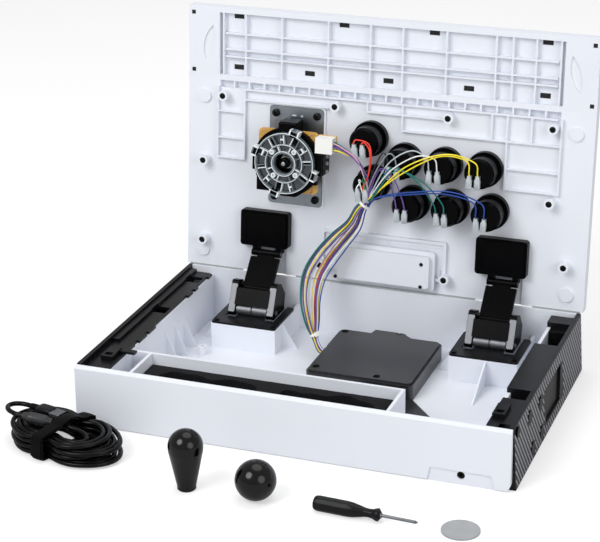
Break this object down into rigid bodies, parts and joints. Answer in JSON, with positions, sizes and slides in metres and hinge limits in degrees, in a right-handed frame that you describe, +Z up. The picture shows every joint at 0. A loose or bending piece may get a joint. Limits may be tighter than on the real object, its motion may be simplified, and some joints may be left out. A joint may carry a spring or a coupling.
{
  "type": "arcade fight stick",
  "caption": "Arcade fight stick with a hinged lid held open, joystick lever and push buttons behind it, cable hank, spare lever tops and screwdriver.",
  "frame": {"origin": "middle of the case's under face, on the surface it stands on", "axes": "+X to the user's right, +Y to the rear where the lid is hinged, +Z up"},
  "size_m": [0.4525, 0.4197, 0.3185],
  "materials": {
    "white_plastic": "fine satin moulding",
    "black_plastic": "satin black",
    "dark_plastic": "matt dark grey",
    "steel": "brushed",
    "foam": "open-cell foam",
    "gate": "smoky clear moulding",
    "board": "solder mask",
    "amber_board": "amber laminate",
    "cable": "flexible sheath",
    "mat_rubber": "matt non-slip",
    "faceplate": "matt plate"
  },
  "bodies": {
    "base": {"base_tray": "white_plastic", "anti_slip_mat": "mat_rubber", "left_side_panel": "dark_plastic", "right_side_panel": "dark_plastic", "left_rail": "black_plastic", "right_rail": "black_plastic", "foam_insert": "foam", "board_cover": "black_plastic", "main_board": "board", "headset_jack": "black_plastic", "left_hinge_bracket": "black_plastic", "right_hinge_bracket": "black_plastic", "hinge_pins": "steel", "base_screws": "black_plastic", "harness_loop": "cable", "ball_top": "black_plastic", "bat_top": "black_plastic", "screwdriver": "black_plastic", "blanking_disc": "steel", "cable_hank": "cable", "cable_tie": "cable", "usb_plug": "black_plastic", "inline_connector": "black_plastic"},
    "lid": {"lid_shell": "white_plastic", "top_faceplate": "faceplate", "lid_screws": "black_plastic", "left_hinge_leaf": "black_plastic", "right_hinge_leaf": "black_plastic", "neck_pins": "steel", "touchpad_cover": "white_plastic", "lever_mount_plate": "steel", "lever_housing": "black_plastic", "lever_switch_board": "amber_board", "lever_gate": "gate", "lever_connector": "white_plastic", "button_housings": "black_plastic", "button_terminals": "steel", "harness_lid": "cable"},
    "left_link": {"left_hinge_link": "black_plastic"},
    "right_link": {"right_hinge_link": "black_plastic"},
    "left_neck": {"left_hinge_neck": "black_plastic"},
    "right_neck": {"right_hinge_neck": "black_plastic"},
    "gimbal": {"lever_gimbal": "steel"},
    "lever": {"lever_shaft": "steel"},
    "touchpad": {"touchpad": "dark_plastic"},
    "release": {"release_button": "dark_plastic"},
    "left_latch": {"left_latch": "black_plastic"},
    "right_latch": {"right_latch": "black_plastic"},
    "button_1": {"button_plunger_1": "black_plastic"},
    "button_2": {"button_plunger_2": "black_plastic"},
    "button_3": {"button_plunger_3": "black_plastic"},
    "button_4": {"button_plunger_4": "black_plastic"},
    "button_5": {"button_plunger_5": "black_plastic"},
    "button_6": {"button_plunger_6": "black_plastic"},
    "button_7": {"button_plunger_7": "black_plastic"},
    "button_8": {"button_plunger_8": "black_plastic"},
    "side_button_1": {"function_button_1": "black_plastic"},
    "side_button_2": {"function_button_2": "black_plastic"},
    "side_button_3": {"function_button_3": "black_plastic"},
    "side_button_4": {"function_button_4": "black_plastic"}
  },
  "joints": [
    {"name": "lid_hinge", "type": "hinge", "parent": "base", "child": "lid", "pos_m": [0, 0.131, 0.058], "axis": [1, 0, 0], "range_deg": [0, 94.8], "deforming": ["harness_loop"]},
    {"name": "left_link_fold", "type": "hinge", "parent": "base", "child": "left_link", "pos_m": [-0.114, 0.085, 0.036], "axis": [1, 0, 0], "range_deg": [-80, 0]},
    {"name": "left_neck_fold", "type": "hinge", "parent": "lid", "child": "left_neck", "pos_m": [-0.114, 0.12423, 0.08175], "axis": [1, 0, 0], "range_deg": [-25, 0]},
    {"name": "right_link_fold", "type": "hinge", "parent": "base", "child": "right_link", "pos_m": [0.125, 0.085, 0.036], "axis": [1, 0, 0], "range_deg": [-80, 0]},
    {"name": "right_neck_fold", "type": "hinge", "parent": "lid", "child": "right_neck", "pos_m": [0.125, 0.12423, 0.08175], "axis": [1, 0, 0], "range_deg": [-25, 0]},
    {"name": "lever_tilt_up_down", "type": "hinge", "parent": "lid", "child": "gimbal", "pos_m": [-0.0885, 0.12768, 0.18086], "axis": [1, 0, 0], "range_deg": [-9, 9], "stiffness_Nm_per_rad": 0.4},
    {"name": "lever_tilt_left_right", "type": "hinge", "parent": "gimbal", "child": "lever", "pos_m": [-0.0885, 0.12768, 0.18086], "axis": [0, 0.0952, 0.9955], "range_deg": [-9, 9], "stiffness_Nm_per_rad": 0.4},
    {"name": "button_1_press", "type": "slide", "parent": "lid", "child": "button_1", "axis": [0, -0.9955, 0.0952], "range_m": [0, 0.0035], "stiffness_N_per_m": 180},
    {"name": "button_2_press", "type": "slide", "parent": "lid", "child": "button_2", "axis": [0, -0.9955, 0.0952], "range_m": [0, 0.0035], "stiffness_N_per_m": 180},
    {"name": "button_3_press", "type": "slide", "parent": "lid", "child": "button_3", "axis": [0, -0.9955, 0.0952], "range_m": [0, 0.0035], "stiffness_N_per_m": 180},
    {"name": "button_4_press", "type": "slide", "parent": "lid", "child": "button_4", "axis": [0, -0.9955, 0.0952], "range_m": [0, 0.0035], "stiffness_N_per_m": 180},
    {"name": "button_5_press", "type": "slide", "parent": "lid", "child": "button_5", "axis": [0, -0.9955, 0.0952], "range_m": [0, 0.0035], "stiffness_N_per_m": 180},
    {"name": "button_6_press", "type": "slide", "parent": "lid", "child": "button_6", "axis": [0, -0.9955, 0.0952], "range_m": [0, 0.0035], "stiffness_N_per_m": 180},
    {"name": "button_7_press", "type": "slide", "parent": "lid", "child": "button_7", "axis": [0, -0.9955, 0.0952], "range_m": [0, 0.0035], "stiffness_N_per_m": 180},
    {"name": "button_8_press", "type": "slide", "parent": "lid", "child": "button_8", "axis": [0, -0.9955, 0.0952], "range_m": [0, 0.0035], "stiffness_N_per_m": 180},
    {"name": "touchpad_click", "type": "slide", "parent": "lid", "child": "touchpad", "axis": [0, -0.9955, 0.0952], "range_m": [0, 0.0005], "stiffness_N_per_m": 2500},
    {"name": "left_latch_slide", "type": "slide", "parent": "base", "child": "left_latch", "axis": [0, 1, 0], "range_m": [0, 0.003], "stiffness_N_per_m": 150},
    {"name": "right_latch_slide", "type": "slide", "parent": "base", "child": "right_latch", "axis": [0, 1, 0], "range_m": [0, 0.003], "stiffness_N_per_m": 150},
    {"name": "release_press", "type": "slide", "parent": "base", "child": "release", "axis": [-1, 0, 0], "range_m": [0, 0.002], "stiffness_N_per_m": 200},
    {"name": "function_1_press", "type": "slide", "parent": "base", "child": "side_button_1", "axis": [-1, 0, 0], "range_m": [0, 0.0012], "stiffness_N_per_m": 250},
    {"name": "function_2_press", "type": "slide", "parent": "base", "child": "side_button_2", "axis": [-1, 0, 0], "range_m": [0, 0.0012], "stiffness_N_per_m": 250},
    {"name": "function_3_press", "type": "slide", "parent": "base", "child": "side_button_3", "axis": [-1, 0, 0], "range_m": [0, 0.0012], "stiffness_N_per_m": 250},
    {"name": "function_4_press", "type": "slide", "parent": "base", "child": "side_button_4", "axis": [-1, 0, 0], "range_m": [0, 0.0012], "stiffness_N_per_m": 250}
  ],
  "couplings": [
    {"joint": "left_link_fold", "follows": "lid_hinge", "ratio": -0.84},
    {"joint": "left_neck_fold", "follows": "lid_hinge", "ratio": -0.26},
    {"joint": "right_link_fold", "follows": "lid_hinge", "ratio": -0.84},
    {"joint": "right_neck_fold", "follows": "lid_hinge", "ratio": -0.26},
    {"joint": "right_latch_slide", "follows": "left_latch_slide", "ratio": 1},
    {"joint": "release_press", "follows": "left_latch_slide", "ratio": 0.6667}
  ]
}
